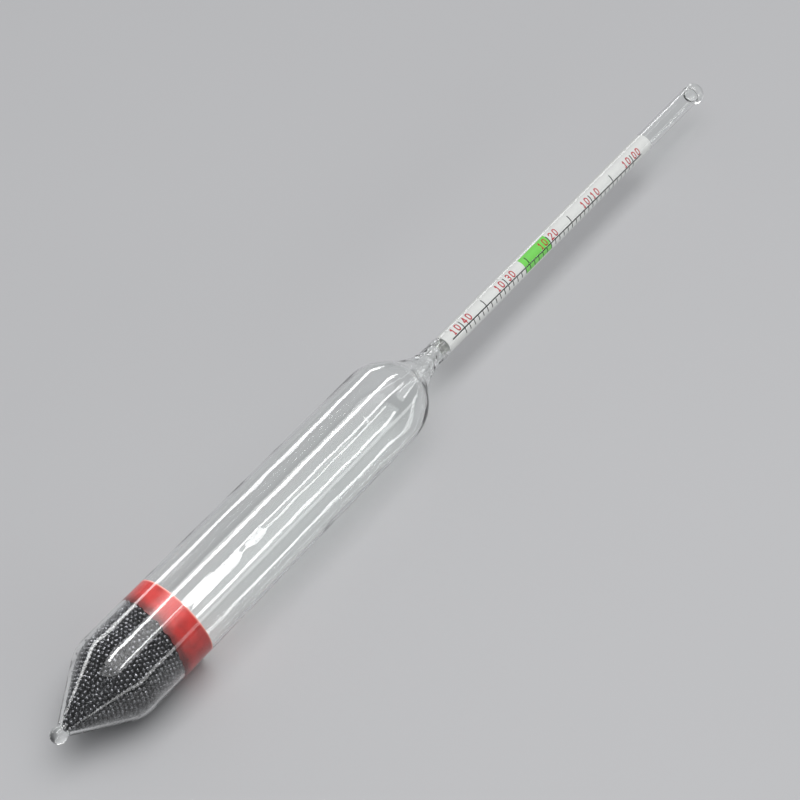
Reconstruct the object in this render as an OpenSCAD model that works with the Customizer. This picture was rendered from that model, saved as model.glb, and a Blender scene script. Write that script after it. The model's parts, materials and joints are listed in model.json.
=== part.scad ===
// Glass hydrometer lying on its side: a blown bulb weighted with shot under a wax
// plug, and a narrow stem that holds a rolled paper scale. Lengths are in millimetres.
// Distances "from the tip" run along the axis from the outermost point of the tip bead.

/* [Bulb] */
// Outside diameter of the barrel
bulb_d = 20; // [19:0.5:20]
// Thickness of the blown glass in the bulb
bulb_wall = 0.6; // [0.5:0.05:0.8]
// End of the straight barrel, from the tip
barrel_end = 111; // [100:1:111]
// Angle between the conical bottom and the axis, in degrees
cone_angle = 30; // [26:1:36]
// Radius of the soft corner between the cone and the barrel
corner_r = 9.4; // [6:0.2:9.4]
// Radius of the domed shoulder
dome_r = 12.6; // [12:0.2:13]
// How far the dome turns inwards before it flares into the neck, in degrees
dome_turn = 40; // [40:1:44]
// Diameter of the solid bead that seals the tip
tip_bead_d = 3.6; // [3.2:0.2:4]

/* [Stem] */
// Outside diameter of the stem
stem_d = 4.8; // [4.8:0.1:5.2]
// Thickness of the stem's glass
stem_wall = 0.4; // [0.3:0.05:0.5]
// Length of the thickened ring where the stem is fused to the bulb
weld_len = 3; // [2:0.5:3]
// How far the ring stands out past the stem
weld_swell = 0.15; // [0.1:0.05:0.5]
// Diameter of the bead that closes the stem
end_bead_d = 5.6; // [5.2:0.1:6]
// Overall length of the instrument
overall_len = 253; // [250:1:260]

/* [Ballast] */
// Top of the shot, from the tip
shot_top = 30; // [24:0.5:34]
// Top of the wax plug where it crosses the axis, from the tip
wax_top = 38.4; // [37:0.2:44]
// Tilt of the wax surface, which set with the bulb leaning, in degrees
wax_tilt = 13.5; // [0:0.5:15]
// Direction of the low side of the wax surface, from straight up, in degrees
wax_turn = 28; // [0:1:90]

/* [Scale] */
// Weight of the finished instrument, in grams
float_mass = 35.2; // [30:0.1:44]
// Place of the 1.000 mark, from the tip
mark_1000 = 216.6; // [212:0.2:220]
// Lower end of the paper, from the tip
paper_start = 135; // [135:0.5:136]
// Upper end of the paper, from the tip
paper_end = 225.2; // [223:0.2:230]
// Turn of the paper in the stem for each millimetre of its length, in degrees
paper_twist = 0.4; // [0:0.05:0.5]
// Direction of the long line at the 1.040 mark, from straight up, in degrees
line_turn = 46; // [0:1:90]
// Height of the numerals
digit_h = 1.8; // [1.4:0.1:2]

/* [Hidden] */
$fn = 96;

// Small gap that keeps a sealed-in piece clear of the glass
slip = 0.03;
// Overlap given to cutting shapes and to shapes that join
cut = 1;
join = 0.5;

// Bulb: radii and places along the axis
bulb_r = bulb_d / 2;
tip_bead_r = tip_bead_d / 2;
cone_tip_r = 0.78 * tip_bead_r;
cone_start = tip_bead_r + sqrt(pow(tip_bead_r, 2) - pow(cone_tip_r, 2));
cone_top_r = bulb_r - corner_r * (1 - cos(cone_angle));
cone_end = cone_start + (cone_top_r - cone_tip_r) / tan(cone_angle);
barrel_start = cone_end + corner_r * sin(cone_angle);
dome_end = barrel_end + dome_r * sin(dome_turn);
dome_end_r = bulb_r - dome_r * (1 - cos(dome_turn));

// Stem: radii and places along the axis
stem_r = stem_d / 2;
bore_r = stem_r - stem_wall;
neck_r = (dome_end_r - stem_r) / (1 - cos(dome_turn));
neck_end = dome_end + neck_r * sin(dome_turn);
weld_end = neck_end + weld_len;
weld_arc_r = (pow(weld_len / 2, 2) + pow(weld_swell, 2)) / (2 * weld_swell);
end_bead_r = end_bead_d / 2;
end_bead_at = overall_len - end_bead_r;
stem_end = end_bead_at - sqrt(pow(end_bead_r, 2) - pow(stem_r, 2));

// Shot and wax
fill_bottom_r = 0.8;

// Scale: the paper, the ink on it and the angles that the print covers, the gravity that
// one unit stands for and the cubic millimetres in a millilitre
paper_t = 0.1;
paper_r = bore_r - slip;
flap_angle = 70;
ink_t = 0.02;
tint_t = 0.01;
line_w = 0.27;
line_half = line_w / 2 / paper_r * 180 / PI;
ink_gap = 0.6;
step_gap = 0.01;
line_lead = 4.8;
line_tail = 4;
long_mark_angle = 56;
tick_angle = 40;
long_mark_every = 5;
unit_gravity = 0.001;
ml = 1000;
scale_span = 40;
numeral_step = 10;
numeral_drop = 34;
green_low = 1.026;
green_high = 1.020;
green_above = 75;
green_below = 42;

// Numerals: one digit's width, the distance between digits, the stroke and the gap to a mark
digit_w = 0.66 * digit_h;
digit_pitch = 0.95 * digit_h;
stroke = 0.28;
mark_gap = 0.8;
ring_fn = 32;

// Letterforms, as shares of a digit's width or height: flag and foot of a 1, open side of
// a 3 in quarters of its height, post and crossbar of a 4
flag_x = 0.1;
flag_y = 0.72;
foot_x = 0.15;
mouth_low = 0.8;
mouth_tall = 2.4;
post_x = 0.72;
crossbar_y = 0.3;

// A floating instrument sinks until it displaces its own weight, so a mark's place
// follows the volume under it: weight over gravity, spread over the stem's section.
function gravity_at(unit) = 1 + unit * unit_gravity;
function mark_at(gravity) =
    mark_1000 - float_mass * ml / (PI * pow(stem_r, 2)) * (1 - 1 / gravity);
function turn_at(z) = line_turn + paper_twist * (z - mark_at(gravity_at(scale_span)));

// Lays a shape that stands on its tip along X, with the barrel resting on Z = 0
module lay_down() {
    translate([-overall_len / 2, 0, bulb_r]) rotate([0, 90, 0]) children();
}

// Turns a shape on the stem's +X side so that it faces the given way from straight up
module face(turn) rotate([0, 0, 180 + turn]) children();

// Half outline of the bulb, moved inwards by a wall: cone, soft corner, barrel, dome, neck
// flare. Each stretch runs a little way inside the next one, so that they join.
module bulb_half(wall) {
    corner_in = corner_r - wall;
    dome_in = dome_r - wall;
    neck_out = neck_r + wall;
    low_r = bulb_r - corner_r + corner_in * cos(cone_angle);
    low_z = barrel_start - corner_in * sin(cone_angle);
    floor_r = wall > 0 ? fill_bottom_r : cone_tip_r;
    floor_z = low_z - (low_r - floor_r) / tan(cone_angle);
    dome_z = barrel_end + dome_in * sin(dome_turn);
    polygon([
        [0, floor_z], [floor_r, floor_z], [low_r, low_z], [low_r, low_z + join], [0, low_z + join]
    ]);
    intersection() {
        translate([bulb_r - corner_r, barrel_start]) circle(r = corner_in);
        translate([0, low_z]) square([bulb_r, barrel_start + join - low_z]);
    }
    translate([0, barrel_start]) square([bulb_r - wall, barrel_end - barrel_start]);
    intersection() {
        translate([bulb_r - dome_r, barrel_end]) circle(r = dome_in);
        translate([0, barrel_end - join]) square([bulb_r, dome_z + 2 * join - barrel_end]);
    }
    difference() {
        translate([0, dome_z]) square([stem_r + neck_r, neck_end - dome_z]);
        translate([stem_r + neck_r, neck_end]) circle(r = neck_out);
    }
}

// Cavity of the bulb, as a solid, between two places along the axis
module cavity(from, to, gap) {
    intersection() {
        rotate_extrude() bulb_half(bulb_wall + gap);
        translate([0, 0, from]) cylinder(r = bulb_r + cut, h = to - from);
    }
}

// Patch of ink on the paper, from one place to another and between two directions
module ink_patch(from, to, turn_a, turn_b, thick) {
    face(turn_a) rotate_extrude(angle = turn_b - turn_a)
        translate([paper_r, from]) square([thick, to - from]);
}

// Blown bulb: cone, barrel and shoulder in one piece of glass
module bulb_glass() {
    color("lightcyan", 0.35) lay_down() rotate_extrude() difference() {
        bulb_half(0);
        bulb_half(bulb_wall);
    }
}

// Solid bead left where the bottom of the bulb was drawn off and sealed
module tip_bead() {
    color("lightblue", 0.6) lay_down() intersection() {
        translate([0, 0, tip_bead_r]) sphere(r = tip_bead_r);
        cylinder(r = bulb_d, h = cone_start);
    }
}

// Thickened ring of glass where the stem was fused to the bulb
module neck_weld() {
    color("powderblue", 0.6) lay_down() rotate_extrude() difference() {
        union() {
            translate([0, neck_end]) square([stem_r, weld_len]);
            intersection() {
                translate([stem_r + weld_swell - weld_arc_r, neck_end + weld_len / 2])
                    circle(r = weld_arc_r);
                translate([0, neck_end]) square([bulb_r, weld_len]);
            }
        }
        translate([0, neck_end - cut]) square([stem_r - bulb_wall, weld_len + 2 * cut]);
    }
}

// Straight glass tube of the stem
module stem_tube() {
    color("lightcyan", 0.35) lay_down() difference() {
        translate([0, 0, weld_end]) cylinder(r = stem_r, h = stem_end - weld_end);
        translate([0, 0, weld_end - cut]) cylinder(r = bore_r, h = stem_end - weld_end + 2 * cut);
    }
}

// Rounded bead that closes the top of the stem, with the bore ending in a small hollow
module stem_end_bead() {
    color("lightblue", 0.6) lay_down() difference() {
        intersection() {
            translate([0, 0, end_bead_at]) sphere(r = end_bead_r);
            translate([0, 0, stem_end]) cylinder(r = bulb_d, h = 2 * end_bead_r);
        }
        translate([0, 0, stem_end]) sphere(r = bore_r);
    }
}

// Bulk of the loose metal shot that fills the cone and the bottom of the barrel
module shot_ballast() {
    color("dimgray") lay_down() cavity(0, shot_top, slip);
}

// Red sealing-wax plug that locks the shot in place
module wax_plug() {
    color("firebrick") lay_down() difference() {
        cavity(shot_top, wax_top + bulb_r, slip);
        translate([0, 0, wax_top]) face(wax_turn) rotate([0, wax_tilt, 0])
            translate([-bulb_d, -bulb_d, 0]) cube([2 * bulb_d, 2 * bulb_d, bulb_d]);
    }
}

// Paper scale rolled into a tube, with its far edge lapped under on the hidden side
module scale_paper() {
    color("white") lay_down() {
        rotate_extrude() translate([paper_r - paper_t, paper_start])
            square([paper_t, paper_end - paper_start]);
        face(line_turn + 180 - flap_angle / 2) rotate_extrude(angle = flap_angle)
            translate([paper_r - 2 * paper_t, paper_start])
                square([paper_t, paper_end - paper_start]);
    }
}

// One mark across the ladder: a tick under the long line and, on a long mark, a rise above it
module mark(unit) {
    z = mark_at(gravity_at(unit));
    turn = turn_at(z);
    low = z - line_w / 2;
    high = z + line_w / 2;
    ink_patch(low, high, turn + line_half + ink_gap, turn + tick_angle, ink_t);
    if (unit % long_mark_every == 0)
        ink_patch(low, high, turn - long_mark_angle, turn - line_half - ink_gap, ink_t);
}

// Stretch of the long line, which follows the turn of the paper in short steps
module line_step(from, to, turn) {
    ink_patch(from, to - step_gap, turn - line_half, turn + line_half, ink_t);
}

// Black ladder: one long line with a tick at every unit and a long mark at every fifth
module scale_ladder() {
    bottom = mark_at(gravity_at(scale_span));
    color("black") lay_down() {
        line_step(bottom - line_lead, bottom, turn_at(bottom));
        for (unit = [0 : scale_span - 1]) {
            low = mark_at(gravity_at(unit + 1));
            high = mark_at(gravity_at(unit));
            line_step(low, high, turn_at((low + high) / 2));
        }
        line_step(mark_1000, mark_1000 + line_tail, turn_at(mark_1000));
        for (unit = [0 : scale_span]) mark(unit);
    }
}

// Strokes of the numerals: a straight bar between two points and a round ring
module bar(a, b) {
    along = (b - a) / norm(b - a);
    side = [-along[1], along[0]] * stroke / 2;
    polygon([a + side, a - side, b - side, b + side]);
}

module ring(centre, r) {
    translate(centre) difference() {
        circle(r = r + stroke / 2, $fn = ring_fn);
        circle(r = r - stroke / 2, $fn = ring_fn);
    }
}

// Digits on a cell that is digit_w wide and digit_h tall, from the strokes' middles
module digit(value) {
    w = digit_w - stroke;
    h = digit_h - stroke;
    r = w / 2;
    if (value == 0) {
        intersection() {
            ring([r, r], r);
            translate([-stroke, -stroke]) square([digit_w + stroke, r + stroke]);
        }
        intersection() {
            ring([r, h - r], r);
            translate([-stroke, h - r]) square([digit_w + stroke, r + stroke]);
        }
        bar([0, r], [0, h - r]);
        bar([w, r], [w, h - r]);
    }
    if (value == 1) {
        bar([r, -stroke / 2], [r, h + stroke / 2]);
        bar([r, h], [flag_x * w, flag_y * h]);
        bar([foot_x * w, 0], [(1 - foot_x) * w, 0]);
    }
    if (value == 2) {
        intersection() {
            ring([r, h - r], r);
            translate([-stroke, h - r]) square([digit_w + stroke, r + stroke]);
        }
        bar([w, h - r], [0, 0]);
        bar([-stroke / 2, 0], [w + stroke / 2, 0]);
    }
    if (value == 3) {
        q = h / 4;
        difference() {
            union() {
                ring([w - q, q], q);
                ring([w - q, 3 * q], q);
            }
            translate([-digit_w, mouth_low * q]) square([digit_w + w - q, mouth_tall * q]);
        }
        bar([w - q - stroke, 2 * q], [w - q + stroke, 2 * q]);
    }
    if (value == 4) {
        bar([post_x * w, -stroke / 2], [post_x * w, h + stroke / 2]);
        bar([post_x * w, h], [0, crossbar_y * h]);
        bar([-stroke / 2, crossbar_y * h], [w + stroke / 2, crossbar_y * h]);
    }
}

// Two digits side by side on the paper, the first one starting at z
module digit_pair(tens, ones, z) {
    middle = turn_at(z + digit_pitch) - numeral_drop;
    face(middle) translate([0, 0, z]) rotate([0, -90, 0]) rotate([180, 0, 0])
        linear_extrude(bulb_r) translate([stroke / 2, stroke / 2 - digit_h / 2]) {
            digit(tens);
            translate([digit_pitch, 0]) digit(ones);
        }
}

// Numerals at every tenth unit, split by its mark: "10" on the bulb side, the unit above it
module scale_numerals() {
    color("crimson") lay_down() intersection() {
        rotate_extrude() translate([paper_r, paper_start])
            square([ink_t, paper_end - paper_start]);
        for (unit = [0 : numeral_step : scale_span]) {
            z = mark_at(gravity_at(unit));
            pair_len = digit_pitch + digit_w;
            digit_pair(1, 0, z - mark_gap - pair_len);
            digit_pair(unit / numeral_step, 0, z + mark_gap);
        }
    }
}

// Green band that shows the working range, a thinner ink that the ladder is printed over
module green_zone() {
    from = mark_at(green_low);
    to = mark_at(green_high);
    turn = turn_at((from + to) / 2);
    color("limegreen") lay_down()
        ink_patch(from, to, turn - green_above, turn + green_below, tint_t);
}

bulb_glass();
tip_bead();
neck_weld();
stem_tube();
stem_end_bead();
shot_ballast();
wax_plug();
scale_paper();
scale_ladder();
scale_numerals();
green_zone();
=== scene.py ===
"""Visual model of a glass hydrometer lying on its side.

Every operator makes one piece, or one group of like pieces, around the fixed frame. All
lengths are in metres. The instrument lies along X with its tip at the low end, and the
direction of a place round the axis is its turn: 0 is straight up, and it grows towards -Y.
"""
import json
from math import asin, cos, pi, radians, sin, sqrt, tan

import bmesh
import bpy
from bpy.props import FloatProperty, FloatVectorProperty, IntProperty, PointerProperty
from bpy.types import Operator, Panel, PropertyGroup
from mathutils import Matrix, Vector

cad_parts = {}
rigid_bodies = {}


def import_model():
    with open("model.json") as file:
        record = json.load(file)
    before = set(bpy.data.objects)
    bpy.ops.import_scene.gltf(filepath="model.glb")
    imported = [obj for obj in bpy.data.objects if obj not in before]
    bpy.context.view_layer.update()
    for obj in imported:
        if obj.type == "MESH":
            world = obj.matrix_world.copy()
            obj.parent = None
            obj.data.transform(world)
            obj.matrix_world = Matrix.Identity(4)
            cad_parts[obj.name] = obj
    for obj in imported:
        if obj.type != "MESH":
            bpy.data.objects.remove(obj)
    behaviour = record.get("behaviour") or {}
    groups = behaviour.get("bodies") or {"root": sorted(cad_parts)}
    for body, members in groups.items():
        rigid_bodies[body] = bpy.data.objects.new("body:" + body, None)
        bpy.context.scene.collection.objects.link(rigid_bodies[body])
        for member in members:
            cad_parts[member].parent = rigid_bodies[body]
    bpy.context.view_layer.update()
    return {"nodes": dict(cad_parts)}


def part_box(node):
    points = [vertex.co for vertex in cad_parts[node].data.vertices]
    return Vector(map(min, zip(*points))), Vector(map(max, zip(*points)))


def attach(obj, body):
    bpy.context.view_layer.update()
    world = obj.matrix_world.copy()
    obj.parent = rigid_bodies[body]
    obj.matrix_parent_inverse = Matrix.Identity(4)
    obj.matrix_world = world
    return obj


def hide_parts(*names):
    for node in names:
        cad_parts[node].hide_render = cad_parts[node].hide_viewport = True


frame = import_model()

bl_info = {
    "name": "Glass Hydrometer",
    "version": (1, 0, 0),
    "blender": (4, 5, 0),
    "location": "View3D > Sidebar > Hydrometer",
    "description": "Builds a shot-weighted glass hydrometer and its stage",
    "category": "Add Mesh",
}

MM = 0.001
TURN_STEPS = 128
MERGE = 0.001 * MM

# Places that the frame gives
BULB_LOW, BULB_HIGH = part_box("bulb_glass")
TIP_LOW, TIP_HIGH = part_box("tip_bead")
WELD_LOW, WELD_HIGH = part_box("neck_weld")
STEM_LOW, STEM_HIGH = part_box("stem_tube")
END_LOW, END_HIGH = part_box("stem_end_bead")
SHOT_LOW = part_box("shot_ballast")[0]
WAX_LOW, WAX_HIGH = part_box("wax_plug")
PAPER_LOW, PAPER_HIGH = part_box("scale_paper")
AXIS_Z = (STEM_LOW.z + STEM_HIGH.z) / 2
BARREL_R = AXIS_Z - BULB_LOW.z
STEM_R = (STEM_HIGH.z - STEM_LOW.z) / 2
NECK_X = BULB_HIGH.x
PAPER_R = (PAPER_HIGH.z - PAPER_LOW.z) / 2

# Shapes that the pieces share
CONE_TIP_SHARE = 0.78                     # radius of the cone's end, as a share of the bead's
LAP = 0.02 * MM                           # how far fused pieces of glass reach into each other
FOOT_SIDE = Vector((0, 0.195, -0.083))    # lean of the wax plug's foot against the axis
FOOT_RISE = 0.45 * MM                     # lift of the wax plug's foot above its lowest place

# Lamps: name, turn, height, length, width, radiance and place along the axis. The
# highlight and edge lamps leave out the floor and the scale, and the highlight lamps leave
# out the stem's tube as well. The room lamps light everything.
SCALE_PIECES = ("paper_roll", "scale_ladder", "scale_numerals", "green_zone")
HIGHLIGHT_LAMPS = (
    ("strip_back", radians(-12), 0.75, 1.4, 0.075, 20, 0.3),
    ("strip_front", radians(21), 0.75, 1.4, 0.04, 12, 0.3),
    ("card", radians(34), 0.75, 0.045, 0.28, 14, 0.335),
)
EDGE_LAMP = ("strip_far", radians(-70), 0.75, 1.6, 0.10, 7, 0.2)
ROOM_LAMPS = (
    ("strip_low", radians(78), 0.75, 1.6, 0.10, 2.6, 0.1),
    ("soft_top", radians(4), 1.1, 1.6, 1.0, 2.0, 0.0),
)
SKY_COLOUR = (0.95, 0.97, 1.0, 1)
SKY_STRENGTH = 0.28
FLOOR_SIZE = 6
SENSOR_WIDTH = 36


class HydrometerGlass(PropertyGroup):
    bulb_wall: FloatProperty(
        name="Bulb wall", description="Thickness of the blown glass in the bulb",
        default=0.6 * MM, min=0, precision=5, unit="LENGTH")
    cone_angle: FloatProperty(
        name="Cone angle", description="Angle between the conical bottom and the axis",
        default=radians(30), unit="ROTATION")
    corner_r: FloatProperty(
        name="Corner radius", description="Soft corner between the cone and the barrel",
        default=9.4 * MM, min=0, precision=5, unit="LENGTH")
    barrel_len: FloatProperty(
        name="Barrel end", description="Distance from the tip to the end of the straight barrel",
        default=111 * MM, min=0, precision=5, unit="LENGTH")
    dome_r: FloatProperty(
        name="Dome radius", description="Radius of the domed shoulder",
        default=12.6 * MM, min=0, precision=5, unit="LENGTH")
    dome_turn: FloatProperty(
        name="Dome turn", description="How far the dome turns inwards before the neck flare",
        default=radians(40), unit="ROTATION")
    floor_r: FloatProperty(
        name="Floor radius", description="Radius of the inside floor at the tip",
        default=0.8 * MM, min=0, precision=5, unit="LENGTH")
    stem_wall: FloatProperty(
        name="Stem wall", description="Thickness of the stem's glass, which the paper touches",
        default=0.45 * MM, min=0, precision=5, unit="LENGTH")
    ripple: FloatProperty(
        name="Ripple", description="Height of the waves left on the inside of the blown wall",
        default=0.17 * MM, min=0, precision=5, unit="LENGTH")
    ripple_len: FloatProperty(
        name="Ripple length", description="Distance between the waves on the inside",
        default=11 * MM, min=0, precision=5, unit="LENGTH")
    bead_sag: FloatProperty(
        name="Bead sag", description="How far the end bead sagged to one side while soft",
        default=0.4 * MM, min=0, precision=5, unit="LENGTH")
    tint: FloatVectorProperty(
        name="Clear tint", description="Colour that the thin glass lets through",
        subtype="COLOR", default=(0.992, 1.0, 0.996))
    bead_tint: FloatVectorProperty(
        name="Bead tint", description="Colour that the thick glass lets through",
        subtype="COLOR", default=(0.982, 0.996, 0.985))


class HydrometerBallast(PropertyGroup):
    ball_d: FloatProperty(
        name="Ball diameter", description="Diameter of one piece of shot",
        default=1.0 * MM, min=0, precision=5, unit="LENGTH")
    row_gap: FloatProperty(
        name="Row gap", description="Distance between rows of shot along the wall",
        default=0.9 * MM, min=0, precision=5, unit="LENGTH")
    scatter: FloatProperty(
        name="Scatter", description="How far a piece of shot lies from its place in the row",
        default=0.13 * MM, min=0, precision=5, unit="LENGTH")
    scatter_seed: IntProperty(
        name="Scatter seed", description="Seed of the shot's scatter", default=4)
    wax_tilt: FloatProperty(
        name="Wax tilt", description="Tilt of the wax surface against the axis",
        default=radians(13.5), unit="ROTATION")
    wax_turn: FloatProperty(
        name="Wax turn", description="Direction of the low side of the wax surface",
        default=radians(28), unit="ROTATION")
    shot_colour: FloatVectorProperty(
        name="Shot colour", description="Colour of the blackened shot",
        subtype="COLOR", default=(0.045, 0.045, 0.048))
    wax_colour: FloatVectorProperty(
        name="Wax colour", description="Colour of the sealing wax",
        subtype="COLOR", default=(0.40, 0.016, 0.013))


class HydrometerScale(PropertyGroup):
    paper_thick: FloatProperty(
        name="Paper thickness", description="Thickness of the rolled paper",
        default=0.1 * MM, min=0, precision=5, unit="LENGTH")
    lap: FloatProperty(
        name="Lap", description="How far the roll's far edge is lapped under",
        default=radians(70), unit="ROTATION")
    lap_turn: FloatProperty(
        name="Lap direction", description="Direction of the lapped edge from straight up",
        default=radians(226), unit="ROTATION")
    paper_colour: FloatVectorProperty(
        name="Paper colour", description="Colour of the paper",
        subtype="COLOR", default=(0.90, 0.90, 0.88))
    black_ink: FloatVectorProperty(
        name="Black ink", description="Colour of the ladder", subtype="COLOR",
        default=(0.012, 0.012, 0.014))
    red_ink: FloatVectorProperty(
        name="Red ink", description="Colour of the numerals", subtype="COLOR",
        default=(0.56, 0.012, 0.03))
    green_ink: FloatVectorProperty(
        name="Green ink", description="Colour of the working range", subtype="COLOR",
        default=(0.22, 0.78, 0.12))


class HydrometerStage(PropertyGroup):
    floor_colour: FloatVectorProperty(
        name="Floor colour", description="Colour of the pale floor", subtype="COLOR",
        default=(0.58, 0.58, 0.59))
    aim: FloatVectorProperty(
        name="Aim", description="Point on the floor that the camera looks at",
        subtype="XYZ", unit="LENGTH", default=(-3.1 * MM, 3.3 * MM, 0))
    azimuth: FloatProperty(
        name="Azimuth", description="Direction of the camera from the aim, from +X",
        default=radians(-147.13), unit="ROTATION")
    elevation: FloatProperty(
        name="Elevation", description="Height of the camera's line above the floor",
        default=radians(46.04), unit="ROTATION")
    roll: FloatProperty(
        name="Roll", description="Turn of the camera about its own line",
        default=radians(2.57), unit="ROTATION")
    distance: FloatProperty(
        name="Distance", description="Distance from the camera to the aim",
        default=522.5 * MM, unit="LENGTH")
    lens: FloatProperty(
        name="Lens", description="Focal length on a 36 mm sensor, in millimetres",
        default=102.85, min=1)


# Modelling by hand: small steps that the operators share

def deselect():
    """Leaves edit mode and deselects every object, the frame's nodes included."""
    if bpy.context.mode != "OBJECT":
        bpy.ops.object.mode_set(mode="OBJECT")
    bpy.ops.object.select_all(action="DESELECT")


def at(x, r):
    """Point above the axis, at x along it and r from it."""
    return Vector((x, 0, AXIS_Z + r))


def arc(x, r, radius, start, end, steps):
    """Points from angle start to end, measured from straight out towards +X."""
    angles = [start + (end - start) * i / steps for i in range(steps + 1)]
    return [(x + radius * sin(a), r + radius * cos(a)) for a in angles]


def line(start, end, steps):
    """Points from start to end, both given as (x, r), in equal steps."""
    return [
        (start[0] + (end[0] - start[0]) * i / steps, start[1] + (end[1] - start[1]) * i / steps)
        for i in range(steps + 1)
    ]


def trace(name, points):
    """Draws a line of edges through points from one vertex, and stays in edit mode."""
    deselect()
    bpy.ops.mesh.primitive_plane_add(size=MM, location=points[0])
    piece = bpy.context.object
    piece.name = name
    piece.data.name = name
    bpy.ops.object.transform_apply(location=True, rotation=True, scale=True)
    bpy.ops.object.mode_set(mode="EDIT")
    bpy.ops.mesh.select_mode(type="VERT")
    bpy.ops.mesh.select_all(action="SELECT")
    bpy.ops.mesh.merge(type="CENTER")
    for here, there in zip(points, points[1:]):
        step = there - here
        if step.length > MERGE:
            bpy.ops.mesh.extrude_vertices_move(TRANSFORM_OT_translate={"value": step})
    return piece


def turn_on_axis(name, outline, steps=TURN_STEPS):
    """Turns an outline of (x, r) points about the axis into a closed piece."""
    piece = trace(name, [at(x, r) for x, r in outline])
    bpy.ops.mesh.select_all(action="SELECT")
    bpy.ops.mesh.spin(steps=steps, angle=2 * pi, center=at(0, 0), axis=(1, 0, 0))
    close_up()
    return piece


def close_up():
    """Merges what coincides and turns the faces outwards."""
    bpy.ops.mesh.select_all(action="SELECT")
    bpy.ops.mesh.remove_doubles(threshold=MERGE)
    bpy.ops.mesh.dissolve_degenerate(threshold=MERGE / 10)
    bpy.ops.mesh.select_all(action="SELECT")
    bpy.ops.mesh.normals_make_consistent(inside=False)


def pick(wanted, kind="VERT"):
    """Selects, in edit mode, the vertices or faces whose middle passes the test."""
    bpy.ops.mesh.select_mode(type=kind)
    bpy.ops.mesh.select_all(action="DESELECT")
    piece = bpy.context.object
    mesh = bmesh.from_edit_mesh(piece.data)
    if kind == "VERT":
        found = [vert for vert in mesh.verts if wanted(vert.co, vert.normal)]
    else:
        found = [face for face in mesh.faces if wanted(face.calc_center_median(), face.normal)]
    if not found:
        raise RuntimeError(f"{piece.name}: nothing was found to select")
    for element in found:
        element.select_set(True)
    mesh.select_flush_mode()
    bmesh.update_edit_mesh(piece.data)


def mark_group(piece, name, weight_of):
    """Makes a vertex group with a weight at each vertex, from its place."""
    deselect()
    group = piece.vertex_groups.new(name=name)
    for vert in piece.data.vertices:
        weight = weight_of(vert.co)
        if weight > 0:
            group.add([vert.index], weight, "REPLACE")


def roughen(piece, name, size, height, weight_of, direction="NORMAL", depth=1):
    """Moves the weighted vertices by soft cloud noise with features of the given size."""
    mark_group(piece, name, weight_of)
    clouds = bpy.data.textures.new(name, type="CLOUDS")
    clouds.noise_scale = size
    clouds.noise_depth = depth
    bpy.context.view_layer.objects.active = piece
    piece.select_set(True)
    modifier = piece.modifiers.new(name, "DISPLACE")
    modifier.texture = clouds
    modifier.texture_coords = "LOCAL"
    modifier.direction = direction
    modifier.strength = height
    modifier.mid_level = 0.5
    modifier.vertex_group = name
    bpy.ops.object.modifier_apply(modifier=modifier.name)
    piece.vertex_groups.remove(piece.vertex_groups[name])
    bpy.data.textures.remove(clouds)


def radius_of(co):
    """Distance of a place from the axis."""
    return sqrt(co.y ** 2 + (co.z - AXIS_Z) ** 2)


def finish_piece(piece, material, slot, *nodes, sharp=35):
    """Smooths the piece, gives it its material and places it on the frame."""
    deselect()
    bpy.context.view_layer.objects.active = piece
    piece.select_set(True)
    bpy.ops.object.shade_smooth_by_angle(angle=radians(sharp))
    piece.data.materials.clear()
    piece.data.materials.append(material)
    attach(piece, "root")
    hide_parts(*nodes)
    deselect()


# Materials

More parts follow.
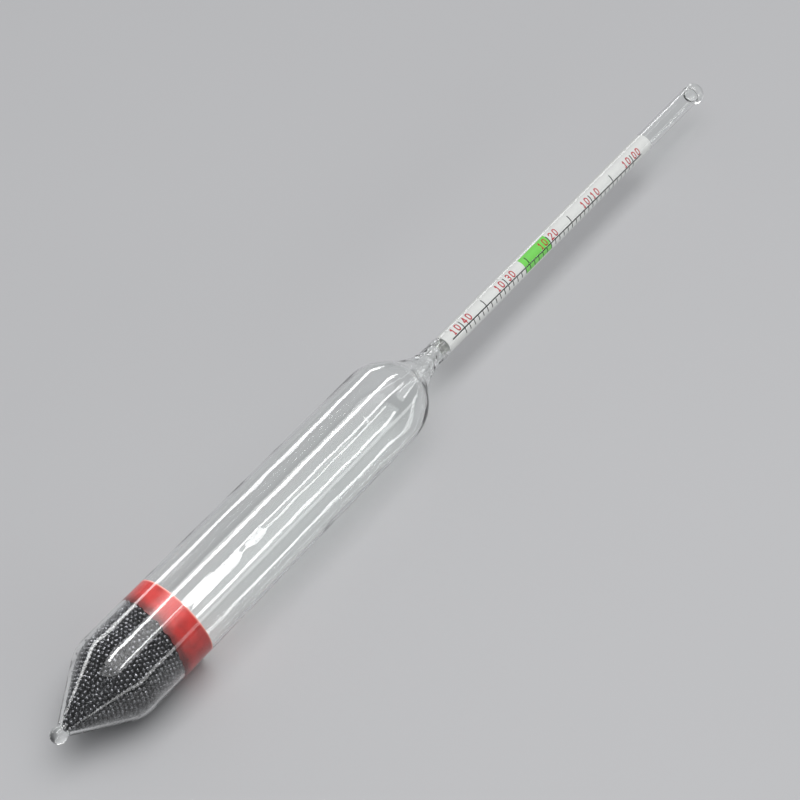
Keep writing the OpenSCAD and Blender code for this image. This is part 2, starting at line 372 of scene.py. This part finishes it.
class Finish:
    """A procedural material under construction, on object coordinates."""

    def __init__(self, name):
        self.material = bpy.data.materials.new(name)
        self.material.use_nodes = True
        self.nodes = self.material.node_tree.nodes
        self.links = self.material.node_tree.links
        self.shader = self.nodes["Principled BSDF"]
        self.output = self.nodes["Material Output"]
        self.place = self.nodes.new("ShaderNodeTexCoord").outputs["Object"]

    def set(self, **values):
        for name, value in values.items():
            self.shader.inputs[name.replace("_", " ")].default_value = value

    def link(self, start, end):
        self.links.new(start, end)

    def stretched(self, scale):
        """Object coordinates scaled, so that a pattern runs longer along one axis."""
        mapping = self.nodes.new("ShaderNodeMapping")
        mapping.inputs["Scale"].default_value = scale
        self.link(self.place, mapping.inputs["Vector"])
        return mapping.outputs["Vector"]

    def noise(self, scale, detail=2.0, rough=0.5, vector=None):
        node = self.nodes.new("ShaderNodeTexNoise")
        node.inputs["Scale"].default_value = scale
        node.inputs["Detail"].default_value = detail
        node.inputs["Roughness"].default_value = rough
        self.link(vector or self.place, node.inputs["Vector"])
        return node.outputs["Fac"]

    def spread(self, value, low, high, start=0.3, end=0.7):
        """Turns values from start to end into values from low to high."""
        node = self.nodes.new("ShaderNodeMapRange")
        node.inputs["From Min"].default_value = start
        node.inputs["From Max"].default_value = end
        node.inputs["To Min"].default_value = low
        node.inputs["To Max"].default_value = high
        self.link(value, node.inputs["Value"])
        return node.outputs["Result"]

    def mixed(self, factor, first, second):
        """Colour between two others; each is a colour or the output of a node."""
        node = self.nodes.new("ShaderNodeMix")
        node.data_type = "RGBA"
        self.link(factor, node.inputs["Factor"])
        for socket, value in ((node.inputs[6], first), (node.inputs[7], second)):
            if isinstance(value, bpy.types.NodeSocket):
                self.link(value, socket)
            else:
                socket.default_value = (*value[:3], 1)
        return node.outputs[2]

    def math(self, operation, first, second=None):
        node = self.nodes.new("ShaderNodeMath")
        node.operation = operation
        for socket, value in zip(node.inputs, (first, second)):
            if isinstance(value, bpy.types.NodeSocket):
                self.link(value, socket)
            elif value is not None:
                socket.default_value = value
        return node.outputs[0]

    def bump(self, height, distance):
        node = self.nodes.new("ShaderNodeBump")
        node.inputs["Distance"].default_value = distance
        node.inputs["Strength"].default_value = 1.0
        self.link(height, node.inputs["Height"])
        self.link(node.outputs["Normal"], self.shader.inputs["Normal"])

    def colour(self, output):
        self.link(output, self.shader.inputs["Base Color"])

    def roughness(self, output):
        self.link(output, self.shader.inputs["Roughness"])

    def plane(self, lean_y, lean_z):
        """How far a plane's place along X has moved, at each Y and Z."""
        parts = self.parts()
        return self.math("ADD", self.math("MULTIPLY", parts["Y"], lean_y),
                         self.math("MULTIPLY", parts["Z"], lean_z))

    def parts(self):
        """X, Y and Z of the object coordinates."""
        node = self.nodes.new("ShaderNodeSeparateXYZ")
        self.link(self.place, node.inputs["Vector"])
        return node.outputs


def shade(colour, factor):
    """The colour made lighter or darker."""
    return tuple(min(1.0, part * factor) for part in colour)


def glass_finish(name, tint, line_height, swirl_height):
    """Clear glass with faint draw lines along the axis; lamps shine through it."""
    finish = Finish(name)
    finish.set(Base_Color=(*tint, 1), Roughness=0.0, IOR=1.47, Transmission_Weight=1.0)
    lines = finish.noise(900, 1.0, vector=finish.stretched((0.03, 1, 1)))
    swirls = finish.noise(260, 2.0, vector=finish.stretched((0.35, 1, 1)))
    height = finish.math("ADD", finish.math("MULTIPLY", lines, line_height),
                         finish.math("MULTIPLY", swirls, swirl_height))
    finish.bump(height, 1.0)
    passing = finish.nodes.new("ShaderNodeBsdfTransparent")
    rim = finish.nodes.new("ShaderNodeLayerWeight")
    rim.inputs["Blend"].default_value = 0.35
    rim_tint = shade(tint, 0.55)
    finish.link(finish.mixed(rim.outputs["Facing"], tint, rim_tint), passing.inputs["Color"])
    path = finish.nodes.new("ShaderNodeLightPath")
    shader = finish.shader.outputs["BSDF"]
    for ray in ("Is Diffuse Ray", "Is Shadow Ray"):
        mix = finish.nodes.new("ShaderNodeMixShader")
        finish.link(path.outputs[ray], mix.inputs["Fac"])
        finish.link(shader, mix.inputs[1])
        finish.link(passing.outputs["BSDF"], mix.inputs[2])
        shader = mix.outputs["Shader"]
    finish.link(shader, finish.output.inputs["Surface"])
    return finish.material


def clear_glass():
    """Thin blown glass of the bulb."""
    found = bpy.data.materials.get("clear_glass_look")
    tint = bpy.context.scene.hydrometer_glass.tint
    return found or glass_finish("clear_glass_look", tint, line_height=0.004 * MM,
                                 swirl_height=0.02 * MM)


def stem_glass():
    """Drawn glass of the stem, smooth enough to read the scale through."""
    tint = bpy.context.scene.hydrometer_glass.tint
    return glass_finish("stem_glass_look", tint, line_height=0.0008 * MM,
                        swirl_height=0.003 * MM)


def bead_glass():
    """Thick glass that was melted and set again, at the beads and the weld."""
    found = bpy.data.materials.get("bead_glass_look")
    tint = bpy.context.scene.hydrometer_glass.bead_tint
    return found or glass_finish("bead_glass_look", tint, line_height=0.002 * MM,
                                 swirl_height=0.03 * MM)


def shot_finish(colour):
    """Blackened metal: each ball a little lighter or darker, with a worn sheen."""
    finish = Finish("shot_look")
    finish.set(Metallic=1.0)
    by_ball = finish.noise(900, 0.0)
    worn = shade(colour, 3.2)
    finish.colour(finish.mixed(finish.spread(by_ball, 0, 1), colour, worn))
    finish.roughness(finish.spread(finish.noise(2600, 2.0), 0.2, 0.34))
    finish.bump(finish.noise(9000, 2.0), 0.01 * MM)
    return finish.material


def wax_finish(colour, rim_x, slope_y, slope_z, film):
    """Sealing wax: clouded red that thins to a pale film along its tilted upper edge, with
    painted shade that darkens it towards its foot, where it sinks between the shot."""
    finish = Finish("wax_look")
    finish.set(Specular_IOR_Level=0.4, Subsurface_Weight=0.15, Subsurface_Scale=1.2 * MM,
               Coat_Weight=0.15, Coat_Roughness=0.2)
    finish.shader.inputs["Subsurface Radius"].default_value = (1.0, 0.25, 0.15)
    x = finish.parts()["X"]
    rim = finish.plane(slope_y, slope_z)
    under = finish.math("SUBTRACT", finish.math("SUBTRACT", rim_x, rim), x)
    wobble = finish.math("MULTIPLY", finish.noise(500, 2.0), 0.5 * film)
    edge = finish.spread(finish.math("ADD", under, wobble), 1, 0,
                         start=0.3 * film, end=1.5 * film)
    clouds = finish.mixed(finish.spread(finish.noise(320, 4.0, 0.6), 0, 1),
                          shade(colour, 0.66), shade(colour, 1.2))
    film_colour = (0.86, 0.40, 0.34)
    # Painted shade: the colour darkens towards the foot, where the wax sinks between the shot.
    foot = finish.plane(FOOT_SIDE.y, FOOT_SIDE.z)
    foot_x = WAX_LOW.x + FOOT_RISE - AXIS_Z * FOOT_SIDE.z
    above = finish.math("SUBTRACT", finish.math("SUBTRACT", x, foot_x), foot)
    shade_reach = finish.math("MULTIPLY", finish.noise(900, 3.0, 0.6), 1.6 * MM)
    painted_foot_shade = finish.spread(finish.math("SUBTRACT", above, shade_reach), 0.85, 0,
                           start=-0.2 * MM, end=2.0 * MM)
    body = finish.mixed(painted_foot_shade, clouds, shade(colour, 0.12))
    finish.colour(finish.mixed(edge, body, film_colour))
    finish.roughness(finish.spread(finish.noise(900, 3.0), 0.28, 0.5))
    finish.bump(finish.noise(1400, 3.0), 0.03 * MM)
    return finish.material


def paper_finish(colour):
    """Smooth white paper: faint fibres and clouding, and a matt surface."""
    finish = Finish("paper_look")
    finish.set(Specular_IOR_Level=0.3)
    fibres = finish.noise(3200, 3.0, 0.6, vector=finish.stretched((0.35, 1, 1)))
    finish.colour(finish.mixed(finish.spread(fibres, 0, 1), shade(colour, 0.96),
                               shade(colour, 1.04)))
    finish.roughness(finish.spread(finish.noise(2400, 2.0), 0.55, 0.75))
    finish.bump(fibres, 0.008 * MM)
    return finish.material


def ink_finish(name, colour, fade):
    """Printed ink: dense, with small lighter specks where the paper shows through."""
    finish = Finish(name)
    finish.set(Specular_IOR_Level=0.35)
    specks = finish.spread(finish.noise(5200, 2.0, 0.6), 0, 1, start=0.62, end=0.85)
    finish.colour(finish.mixed(specks, colour, fade))
    finish.roughness(finish.spread(finish.noise(3000, 2.0), 0.4, 0.6))
    return finish.material


def floor_finish(colour):
    """Pale satin board with the faintest clouding."""
    finish = Finish("floor_look")
    finish.set(Specular_IOR_Level=0.5)
    clouds = finish.noise(7, 3.0, 0.5)
    finish.colour(finish.mixed(finish.spread(clouds, 0, 1, start=0, end=1),
                               shade(colour, 0.98), shade(colour, 1.02)))
    finish.roughness(finish.spread(finish.noise(4, 1.0), 0.50, 0.54, start=0, end=1))
    return finish.material


# Outlines

def bulb_outline(glass, wall, inside):
    """Half outline of the bulb from the tip to the neck, moved inwards by wall. The barrel
    has many short steps, which the ripples of its inside need."""
    tip_x = TIP_LOW.x
    barrel_end = tip_x + glass.barrel_len
    angle = glass.cone_angle
    corner = glass.corner_r - wall
    corner_mid = BARREL_R - glass.corner_r
    cone_top_r = corner_mid + glass.corner_r * cos(angle)
    cone_tip_r = CONE_TIP_SHARE * (TIP_HIGH.z - TIP_LOW.z) / 2
    cone_start = BULB_LOW.x
    cone_end = cone_start + (cone_top_r - cone_tip_r) / tan(angle)
    barrel_start = cone_end + glass.corner_r * sin(angle)
    low_r = corner_mid + corner * cos(angle)
    low_x = barrel_start - corner * sin(angle)
    floor_r = glass.floor_r if inside else cone_tip_r
    floor_x = low_x - (low_r - floor_r) / tan(angle)
    dome_end_r = BARREL_R - glass.dome_r * (1 - cos(glass.dome_turn))
    neck_r = (dome_end_r - STEM_R) / (1 - cos(glass.dome_turn))
    points = line((floor_x, floor_r), (low_x, low_r), 12)[:-1]
    points += arc(barrel_start, corner_mid, corner, -angle, 0, 10)[:-1]
    points += line((barrel_start, BARREL_R - wall), (barrel_end, BARREL_R - wall), 72)[:-1]
    points += arc(barrel_end, BARREL_R - glass.dome_r, glass.dome_r - wall, 0,
                  glass.dome_turn, 24)[:-1]
    points += arc(NECK_X, STEM_R + neck_r, neck_r + wall, glass.dome_turn + pi, pi, 40)
    return points


class HYDROMETER_OT_bulb(Operator):
    """Blow the bulb: cone, barrel and shoulder, with ripples on the inside"""
    bl_idname = "hydrometer.bulb"
    bl_label = "Bulb"

    def execute(self, context):
        glass = context.scene.hydrometer_glass
        outside = bulb_outline(glass, 0, False)
        inside = bulb_outline(glass, glass.bulb_wall, True)
        outline = [(outside[0][0] - LAP, 0), (outside[0][0] - LAP, outside[0][1])]
        outline += outside + inside[::-1] + [(inside[0][0], 0)]
        piece = turn_on_axis("glass_bulb", outline)
        wall_middle = BARREL_R - glass.bulb_wall / 2
        smooth_below = SHOT_LOW.x + 12 * MM
        smooth_above = NECK_X - 6 * MM
        fade_len = 3 * MM

        def on_inner_wall(co):
            """Full on the bare wall, none in the cone, under the wax or in the neck."""
            if radius_of(co) > wall_middle or not smooth_below <= co.x <= smooth_above:
                return 0
            if WAX_LOW.x < co.x < WAX_HIGH.x:
                return 0
            return min(1, min(abs(co.x - WAX_LOW.x), abs(co.x - WAX_HIGH.x)) / fade_len)

        roughen(piece, "inner_ripple", glass.ripple_len, glass.ripple, on_inner_wall)

        swirl_len = 9 * MM
        flare = 0.6
        grow_len = 4 * MM
        end_len = 0.6 * MM

        def in_neck(co):
            """Grows from the shoulder towards the weld, and dies away just before it."""
            before_weld = NECK_X - co.x
            if radius_of(co) > STEM_R + before_weld * flare or before_weld > swirl_len:
                return 0
            return max(0, min(1, (swirl_len - before_weld) / grow_len, before_weld / end_len))

        roughen(piece, "neck_swirl", 1.3 * MM, 0.36 * MM, in_neck, depth=2)
        finish_piece(piece, clear_glass(), "clear_glass", "bulb_glass")
        return {"FINISHED"}


class HYDROMETER_OT_tip_bead(Operator):
    """Seal the tip of the bulb with its small solid bead"""
    bl_idname = "hydrometer.tip_bead"
    bl_label = "Tip bead"

    def execute(self, context):
        bead_r = (TIP_HIGH.z - TIP_LOW.z) / 2
        join_x = TIP_HIGH.x
        middle = TIP_LOW.x + bead_r
        turn = asin((join_x - middle) / bead_r)
        join_r = bead_r * cos(turn)
        collar_x = join_x + 0.45 * MM
        outline = arc(middle, 0, bead_r, -pi / 2, turn, 36)
        outline += [(join_x + 0.25 * MM, join_r + 0.12 * MM), (collar_x, join_r + 0.16 * MM)]
        outline += [(collar_x, join_r - 0.1 * MM), (join_x, join_r - 0.3 * MM), (join_x, 0)]
        piece = turn_on_axis("glass_tip_bead", outline, 64)
        finish_piece(piece, bead_glass(), "bead_glass", "tip_bead")
        return {"FINISHED"}


class HYDROMETER_OT_neck_weld(Operator):
    """Fuse the stem to the bulb: a swollen ring with an uneven inside"""
    bl_idname = "hydrometer.neck_weld"
    bl_label = "Neck weld"

    def execute(self, context):
        glass = context.scene.hydrometer_glass
        swell = (WELD_HIGH.z - WELD_LOW.z) / 2 - STEM_R
        half = (WELD_HIGH.x - WELD_LOW.x) / 2
        middle = WELD_LOW.x + half
        bore = STEM_R - glass.bulb_wall
        swell_r = (half ** 2 + swell ** 2) / (2 * swell)
        reach = asin(half / swell_r)
        low, high = WELD_LOW.x - LAP, WELD_HIGH.x + LAP
        outline = [(low, STEM_R - LAP)]
        outline += arc(middle, STEM_R + swell - swell_r, swell_r, -reach, reach, 24)
        outline += [(high, STEM_R - LAP)] + line((high, bore), (low, bore), 24) + outline[:1]
        piece = turn_on_axis("glass_neck_weld", outline, 96)
        wall_middle = (STEM_R + bore) / 2
        end_len = 0.8 * MM

        def on_bore(co):
            """Full in the middle of the bore, and dies away towards its ends."""
            from_end = min(co.x - WELD_LOW.x, WELD_HIGH.x - co.x) / end_len
            return 0 if radius_of(co) > wall_middle else max(0, min(1, from_end))

        roughen(piece, "weld_swirl", 1.1 * MM, 0.34 * MM, on_bore, depth=2)
        finish_piece(piece, bead_glass(), "bead_glass", "neck_weld")
        return {"FINISHED"}


class HYDROMETER_OT_stem(Operator):
    """Draw the straight glass tube of the stem"""
    bl_idname = "hydrometer.stem"
    bl_label = "Stem"

    def execute(self, context):
        glass = context.scene.hydrometer_glass
        bore = STEM_R - glass.stem_wall
        low, high = STEM_LOW.x, STEM_HIGH.x
        outline = line((low, STEM_R), (high, STEM_R), 60)
        outline += line((high, bore), (low, bore), 60) + [(low, STEM_R)]
        piece = turn_on_axis("glass_stem", outline, 96)
        finish_piece(piece, stem_glass(), "clear_glass", "stem_tube")
        return {"FINISHED"}


class HYDROMETER_OT_end_bead(Operator):
    """Close the stem with a rounded bead that sagged a little to one side"""
    bl_idname = "hydrometer.end_bead"
    bl_label = "End bead"

    def execute(self, context):
        glass = context.scene.hydrometer_glass
        bead_r = (END_HIGH.y - END_LOW.y) / 2
        bore = STEM_R - glass.stem_wall
        middle = END_HIGH.x - bead_r
        join_x = STEM_HIGH.x
        turn = asin((join_x - middle) / bead_r)
        outline = [(join_x - LAP, STEM_R - LAP)]
        outline += arc(middle, 0, bead_r, turn, pi / 2, 32)
        outline += arc(join_x, 0, bore, pi / 2, 0, 20)
        outline += [(join_x - LAP, bore), (join_x - LAP, STEM_R - LAP)]
        piece = turn_on_axis("glass_stem_bead", outline, 96)
        soft_from = middle - 0.1 * bead_r
        sag_side = Vector((-0.2, -0.35, -0.9)).normalized()
        pick(lambda co, normal: co.x > soft_from)
        bpy.ops.transform.translate(
            value=sag_side * glass.bead_sag, use_proportional_edit=True,
            proportional_edit_falloff="SMOOTH", proportional_size=bead_r * 0.5)
        finish_piece(piece, bead_glass(), "bead_glass", "stem_end_bead")
        return {"FINISHED"}


class HYDROMETER_OT_shot(Operator):
    """Fill the cone and the bottom of the barrel with loose metal shot"""
    bl_idname = "hydrometer.shot"
    bl_label = "Shot"

    def execute(self, context):
        glass = context.scene.hydrometer_glass
        ballast = context.scene.hydrometer_ballast
        ball_r = ballast.ball_d / 2
        clearance = 0.02 * MM
        top = WAX_LOW.x + 1.0 * MM
        wall = bulb_outline(glass, glass.bulb_wall + ball_r + clearance, True)
        seats = self.seats(self.rows_along(wall, ballast.row_gap, top), ballast)
        piece = self.set_down(self.ball(ball_r), seats)
        core = self.core(glass.bulb_wall + 1.1 * ballast.ball_d, top)
        deselect()
        core.select_set(True)
        piece.select_set(True)
        bpy.context.view_layer.objects.active = piece
        bpy.ops.object.join()
        piece.name = "shot_balls"
        finish_piece(piece, shot_finish(ballast.shot_colour), "dark_shot", "shot_ballast",
                     sharp=60)
        return {"FINISHED"}

    def core(self, depth, top):
        """Solid heart of the ballast, behind the balls, depth inside the bulb's outside."""
        wall = bulb_outline(bpy.context.scene.hydrometer_glass, depth, True)
        side = [(x, r) for x, r in wall if x < top]
        return turn_on_axis("shot_core", [(side[0][0], 0), *side, (top, side[-1][1]), (top, 0)],
                            64)

    def rows_along(self, wall, gap, top):
        """Places of the rows, a gap apart along the wall, up to top."""
        rows, left = [], 0
        for (x0, r0), (x1, r1) in zip(wall, wall[1:]):
            length = sqrt((x1 - x0) ** 2 + (r1 - r0) ** 2)
            while left <= length and length > 0:
                share = left / length
                x = x0 + share * (x1 - x0)
                if x > top:
                    return rows
                rows.append((x, r0 + share * (r1 - r0)))
                left += gap
            left -= length
        return rows

    def seats(self, rows, ballast):
        """One vertex where each ball goes: rings of vertices, each turned further than the
        last, and then scattered."""
        row_turn = 2.4
        side_gap = 1.03
        deselect()
        bpy.ops.mesh.primitive_circle_add(vertices=3, radius=ballast.ball_d / 4,
                                          location=at(rows[0][0] - ballast.row_gap, 0),
                                          rotation=(0, pi / 2, 0))
        seats = bpy.context.object
        bpy.ops.object.transform_apply(location=True, rotation=True, scale=True)
        bpy.ops.object.mode_set(mode="EDIT")
        for number, (x, r) in enumerate(rows):
            count = max(3, int(2 * pi * r / (side_gap * ballast.ball_d)))
            bpy.ops.mesh.primitive_circle_add(vertices=count, radius=r, location=at(x, 0),
                                              rotation=(0, pi / 2, 0))
            bpy.ops.transform.rotate(value=number * row_turn, orient_axis="X",
                                     center_override=at(x, 0))
        bpy.ops.mesh.select_all(action="SELECT")
        bpy.ops.transform.vertex_random(offset=ballast.scatter, seed=ballast.scatter_seed)
        bpy.ops.object.mode_set(mode="OBJECT")
        return seats

    def ball(self, radius):
        """One slightly uneven ball."""
        deselect()
        bpy.ops.mesh.primitive_ico_sphere_add(subdivisions=2, radius=radius)
        bpy.ops.object.mode_set(mode="EDIT")
        bpy.ops.mesh.select_all(action="SELECT")
        bpy.ops.transform.resize(value=(1.0, 0.97, 1.02))
        bpy.ops.object.mode_set(mode="OBJECT")
        bpy.ops.object.transform_apply(location=True, rotation=True, scale=True)
        return bpy.context.object

    def set_down(self, ball, seats):
        """Copies the ball to every seat and joins the copies into one piece."""
        before = set(bpy.data.objects)
        deselect()
        ball.parent = seats
        seats.instance_type = "VERTS"
        seats.select_set(True)
        bpy.context.view_layer.objects.active = seats
        bpy.ops.object.duplicates_make_real()
        copies = [obj for obj in bpy.data.objects if obj not in before]
        if not copies:
            raise RuntimeError("the shot was not copied to its seats")
        deselect()
        for obj in copies:
            obj.select_set(True)
        bpy.context.view_layer.objects.active = copies[0]
        bpy.ops.object.make_single_user(object=True, obdata=True)
        bpy.ops.object.join()
        piece = bpy.context.object
        bpy.ops.object.transform_apply(location=True, rotation=True, scale=True)
        bpy.data.objects.remove(ball)
        bpy.data.objects.remove(seats)
        return piece


class HYDROMETER_OT_wax(Operator):
    """Pour the red wax plug that locks the shot, with a tilted top and a meniscus"""
    bl_idname = "hydrometer.wax"
    bl_label = "Wax plug"

    def execute(self, context):
        glass = context.scene.hydrometer_glass
        ballast = context.scene.hydrometer_ballast
        radius = BARREL_R - glass.bulb_wall + 0.03 * MM
        spare = 3 * MM
        film = 0.32 * MM
        low, high = WAX_LOW.x - spare, WAX_HIGH.x + spare
        piece = turn_on_axis("wax_seal", [(low, 0), (low, radius), (high, radius), (high, 0)],
                             192)
        tilt, turn = ballast.wax_tilt, ballast.wax_turn
        low_side = Vector((0, -sin(turn), cos(turn)))
        normal = Vector((cos(tilt), 0, 0)) + low_side * sin(tilt)
        rim_x = WAX_HIGH.x - radius * tan(tilt)
        bpy.ops.mesh.select_all(action="SELECT")
        bpy.ops.mesh.bisect(plane_co=at(rim_x, 0), plane_no=normal, use_fill=True,
                            clear_outer=True)
        bpy.ops.mesh.select_all(action="SELECT")
        bpy.ops.mesh.bisect(plane_co=at(WAX_LOW.x + FOOT_RISE, 0),
                            plane_no=(Vector((1, 0, 0)) - FOOT_SIDE).normalized(),
                            use_fill=True, clear_inner=True)
        foot_end = WAX_LOW.x + 4 * MM
        pick(lambda co, facing: facing.x > 0.9 and co.x > foot_end, "FACE")
        for width, sink in ((0.35, 0.42), (0.7, 0.22), (1.6, 0.08)):
            bpy.ops.mesh.inset(thickness=width * MM, depth=-sink * MM)
        middle = (WAX_LOW.x + rim_x) / 2 - 2 * MM

        def on_foot(co):
            return 1 if co.x < middle else 0

        roughen(piece, "ragged_foot", 1.3 * MM, 1.1 * MM, on_foot, direction="X", depth=2)
        slope = tan(tilt)
        material = wax_finish(ballast.wax_colour, rim_x + AXIS_Z * slope * cos(turn),
                              -slope * sin(turn), slope * cos(turn), film)
        finish_piece(piece, material, "red_wax", "wax_plug", sharp=30)
        return {"FINISHED"}


class HYDROMETER_OT_paper(Operator):
    """Roll the paper scale, its far edge lapped under on the hidden side"""
    bl_idname = "hydrometer.paper"
    bl_label = "Paper roll"

    def execute(self, context):
        scale = context.scene.hydrometer_scale
        steps = 120
        dive = 0.25                         # turn before the lap where the edge starts to dive
        sink = 1.15 * scale.paper_thick     # depth of the lapped edge under the roll
        points = []
        for i in range(steps + 1):
            turned = (2 * pi + scale.lap) * i / steps
            under = max(0, turned - 2 * pi + dive) / (scale.lap + dive)
            r = PAPER_R - sink * min(1, 3 * under)
            turn = scale.lap_turn + scale.lap / 2 + turned
            points.append(Vector((PAPER_LOW.x, -r * sin(turn), AXIS_Z + r * cos(turn))))
        piece = trace("paper_roll", points)
        bpy.ops.mesh.select_all(action="SELECT")
        length = PAPER_HIGH.x - PAPER_LOW.x
        bpy.ops.mesh.extrude_region_move(TRANSFORM_OT_translate={"value": (length, 0, 0)})
        bpy.ops.mesh.select_all(action="SELECT")
        bpy.ops.mesh.remove_doubles(threshold=MERGE)
        self.face_outwards(piece)
        deselect()
        bpy.context.view_layer.objects.active = piece
        piece.select_set(True)
        card = piece.modifiers.new("card", "SOLIDIFY")
        card.thickness = scale.paper_thick
        card.offset = -1
        bpy.ops.object.modifier_apply(modifier=card.name)
        finish_piece(piece, paper_finish(scale.paper_colour), "white_paper", "scale_paper")
        return {"FINISHED"}

    def face_outwards(self, piece):
        """Turns the open sheet's faces away from the axis before it gets its thickness."""
        mesh = bmesh.from_edit_mesh(piece.data)
        mesh.normal_update()
        face = next(iter(mesh.faces))
        middle = face.calc_center_median()
        out = Vector((0, middle.y, middle.z - AXIS_Z))
        if face.normal.dot(out) < 0:
            bpy.ops.mesh.select_all(action="SELECT")
            bpy.ops.mesh.flip_normals()


class HYDROMETER_OT_print(Operator):
    """Ink the ladder, the numerals and the working range"""
    bl_idname = "hydrometer.print"
    bl_label = "Printed scale"

    def execute(self, context):
        scale = context.scene.hydrometer_scale
        inks = {
            "scale_ladder": ink_finish("black_ink_look", scale.black_ink, (0.12, 0.12, 0.12)),
            "scale_numerals": ink_finish("red_ink_look", scale.red_ink, (0.85, 0.22, 0.22)),
            "green_zone": ink_finish("green_ink_look", scale.green_ink, (0.36, 0.80, 0.24)),
        }
        for node, ink in inks.items():
            frame["nodes"][node].material_slots[0].material = ink
        return {"FINISHED"}


class HYDROMETER_OT_stage(Operator):
    """Set out the pale floor, the soft lamps and the camera"""
    bl_idname = "hydrometer.stage"
    bl_label = "Stage"

    def execute(self, context):
        stage = context.scene.hydrometer_stage
        self.floor(stage)
        self.lamps()
        self.camera(context.scene, stage)
        context.scene.view_settings.view_transform = "Standard"
        return {"FINISHED"}

    def floor(self, stage):
        """A wide board under the object."""
        deselect()
        bpy.ops.mesh.primitive_plane_add(size=FLOOR_SIZE, location=(0, 0, 0))
        floor = bpy.context.object
        floor.name = "floor"
        floor.data.materials.append(floor_finish(stage.floor_colour))

    def lamp(self, name, turn, height, length, width, radiance, x):
        """A softbox that faces the axis from a turn and a height, centred at x along it."""
        deselect()
        place = Vector((x, -height * sin(turn), AXIS_Z + height * cos(turn)))
        bpy.ops.object.light_add(type="AREA", location=place, rotation=(turn, 0, 0))
        lamp = bpy.context.object
        lamp.name = name
        lamp.data.shape = "RECTANGLE"
        lamp.data.size = length
        lamp.data.size_y = width
        lamp.data.energy = radiance * pi * length * width
        return lamp

    def shield(self, lamps, *names):
        """Keeps the lamps off the floor, the scale and any other objects named."""
        shielded = bpy.data.collections.new("shielded")
        for name in ("floor", *names, *SCALE_PIECES):
            if name in bpy.data.objects:
                shielded.objects.link(bpy.data.objects[name])
        for lamp in lamps:
            lamp.light_linking.receiver_collection = shielded
        for member in shielded.collection_objects:
            member.light_linking.link_state = "EXCLUDE"

    def lamps(self):
        self.shield([self.lamp(*row) for row in HIGHLIGHT_LAMPS], "glass_stem")
        self.shield([self.lamp(*EDGE_LAMP)])
        for row in ROOM_LAMPS:
            self.lamp(*row)
        world = bpy.context.scene.world or bpy.data.worlds.new("studio")
        bpy.context.scene.world = world
        world.use_nodes = True
        sky = world.node_tree.nodes["Background"]
        sky.inputs["Color"].default_value = SKY_COLOUR
        sky.inputs["Strength"].default_value = SKY_STRENGTH

    def camera(self, scene, stage):
        aim = Vector(stage.aim)
        away = Vector((cos(stage.elevation) * cos(stage.azimuth),
                       cos(stage.elevation) * sin(stage.azimuth), sin(stage.elevation)))
        place = aim + away * stage.distance
        deselect()
        bpy.ops.object.camera_add(location=place)
        camera = bpy.context.object
        turned = (-away).to_track_quat("-Z", "Y").to_matrix().to_4x4()
        camera.matrix_world = (Matrix.Translation(place) @ turned
                               @ Matrix.Rotation(stage.roll, 4, "Z"))
        camera.data.lens = stage.lens
        camera.data.sensor_width = SENSOR_WIDTH
        camera.data.clip_start = 0.01
        scene.camera = camera


class HYDROMETER_PT_sidebar(Panel):
    """Lists the pieces of the hydrometer and their sizes"""
    bl_idname = "HYDROMETER_PT_sidebar"
    bl_label = "Hydrometer"
    bl_space_type = "VIEW_3D"
    bl_region_type = "UI"
    bl_category = "Hydrometer"

    def draw(self, context):
        for operator in OPERATORS:
            self.layout.operator(operator.bl_idname)
        for name in GROUPS:
            group = getattr(context.scene, name)
            box = self.layout.box()
            for prop in group.bl_rna.properties:
                if prop.identifier not in ("rna_type", "name"):
                    box.prop(group, prop.identifier)


OPERATORS = (
    HYDROMETER_OT_bulb, HYDROMETER_OT_tip_bead, HYDROMETER_OT_neck_weld,
    HYDROMETER_OT_stem, HYDROMETER_OT_end_bead, HYDROMETER_OT_shot, HYDROMETER_OT_wax,
    HYDROMETER_OT_paper, HYDROMETER_OT_print, HYDROMETER_OT_stage,
)
GROUPS = {
    "hydrometer_glass": HydrometerGlass,
    "hydrometer_ballast": HydrometerBallast,
    "hydrometer_scale": HydrometerScale,
    "hydrometer_stage": HydrometerStage,
}


def register():
    for name, group in GROUPS.items():
        bpy.utils.register_class(group)
        setattr(bpy.types.Scene, name, PointerProperty(type=group))
    for cls in (*OPERATORS, HYDROMETER_PT_sidebar):
        bpy.utils.register_class(cls)


def unregister():
    for cls in (HYDROMETER_PT_sidebar, *reversed(OPERATORS)):
        bpy.utils.unregister_class(cls)
    for name, group in GROUPS.items():
        delattr(bpy.types.Scene, name)
        bpy.utils.unregister_class(group)


def main():
    register()
    for operator in OPERATORS:
        family, name = operator.bl_idname.split(".")
        getattr(getattr(bpy.ops, family), name)()


if __name__ == "__main__":
    main()
